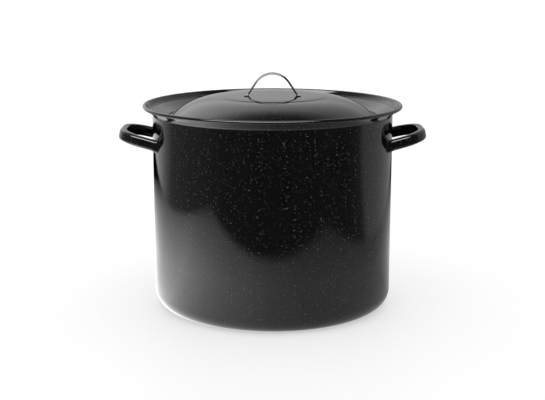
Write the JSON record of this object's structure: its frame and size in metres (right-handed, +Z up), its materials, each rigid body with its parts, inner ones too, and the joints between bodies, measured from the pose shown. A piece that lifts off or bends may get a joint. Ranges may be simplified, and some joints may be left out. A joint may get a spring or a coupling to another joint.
{
  "type": "water bath canner",
  "caption": "Enamelled steel water bath canner: straight pot with flared rim and loop side handles, recessed domed lid with arched handle, and a lift-out wire jar rack.",
  "frame": {"origin": "centre of the base, on the surface that the pot stands on", "axes": "+Z up along the axis of the pot, +X along the line through the side handles, -Y towards the front"},
  "size_m": [0.4142, 0.35, 0.3171],
  "materials": {
    "enamel": "glossy black porcelain enamel with fine white speckles",
    "plated_wire": "bright zinc and chrome plate on drawn wire"
  },
  "bodies": {
    "pot": {"pot_body": "enamel", "side_handle_left": "enamel", "side_handle_right": "enamel"},
    "rack": {"rack_hub_ring": "plated_wire", "rack_inner_support": "plated_wire", "rack_outer_support": "plated_wire", "rack_centre_ring": "plated_wire", "rack_upper_rim": "plated_wire", "rack_lower_rim": "plated_wire", "divider_1": "plated_wire", "divider_2": "plated_wire", "divider_3": "plated_wire", "divider_4": "plated_wire", "divider_5": "plated_wire", "divider_6": "plated_wire"},
    "lid": {"lid_shell": "enamel", "lid_handle": "enamel"},
    "left_rack_handle": {"rack_handle_left": "plated_wire"},
    "right_rack_handle": {"rack_handle_right": "plated_wire"}
  },
  "joints": [
    {"name": "rack_lift", "type": "slide", "parent": "pot", "child": "rack", "axis": [0, 0, 1], "range_m": [0, 0.3]},
    {"name": "lid_lift", "type": "slide", "parent": "rack", "child": "lid", "axis": [0, 0, 1], "range_m": [0, 0.12]},
    {"name": "left_handle_fold", "type": "hinge", "parent": "rack", "child": "left_rack_handle", "pos_m": [-0.14922, 0, 0.064], "axis": [0, -1, 0], "range_deg": [0, 80]},
    {"name": "right_handle_fold", "type": "hinge", "parent": "rack", "child": "right_rack_handle", "pos_m": [0.14922, 0, 0.064], "axis": [0, 1, 0], "range_deg": [0, 80]}
  ]
}
